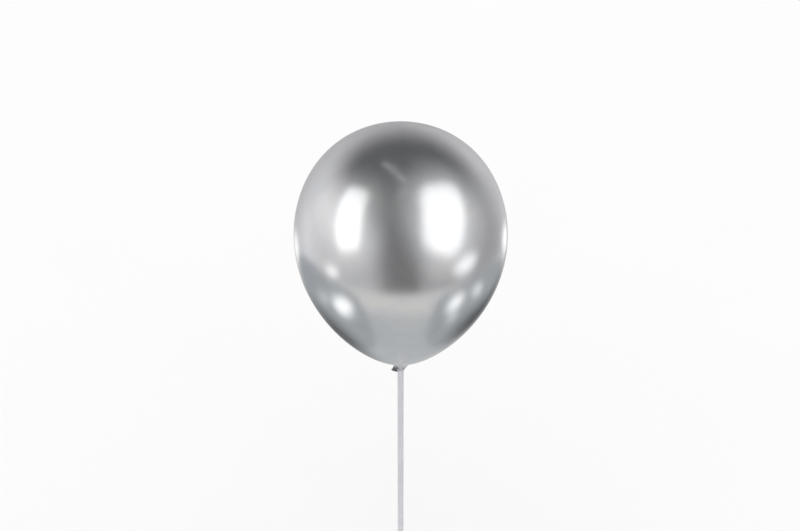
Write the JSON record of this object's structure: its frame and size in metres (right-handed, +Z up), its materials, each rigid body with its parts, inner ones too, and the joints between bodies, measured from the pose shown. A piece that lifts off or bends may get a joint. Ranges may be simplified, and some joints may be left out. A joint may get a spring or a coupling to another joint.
{
  "type": "latex balloon on a stick",
  "caption": "Inflated round latex balloon with a chrome finish, on a petalled cup and a hollow plastic stick, its knotted neck locked in the cup's keyhole.",
  "frame": {"origin": "centre of the stick's foot, where a hand or a stand holds it", "axes": "+Z up along the stick to the balloon's crown; the pictured side faces -Y, and the tail hangs behind the cup, 8 degrees round from +Y towards -X"},
  "size_m": [0.24, 0.24, 0.6527],
  "materials": {
    "chrome_latex": "metallic silver, glossy, stretched smooth",
    "gathered_latex": "metallic silver, satin, gathered in pleats",
    "clear_plastic": "clear moulded, slightly milky, glossy",
    "milky_plastic": "translucent milky white, extruded, satin"
  },
  "bodies": {
    "root": {"envelope": "chrome_latex", "neck": "gathered_latex", "knot": "gathered_latex", "tail": "gathered_latex", "tail_lip": "gathered_latex", "cup": "clear_plastic", "stick": "milky_plastic"}
  },
  "joints": []
}
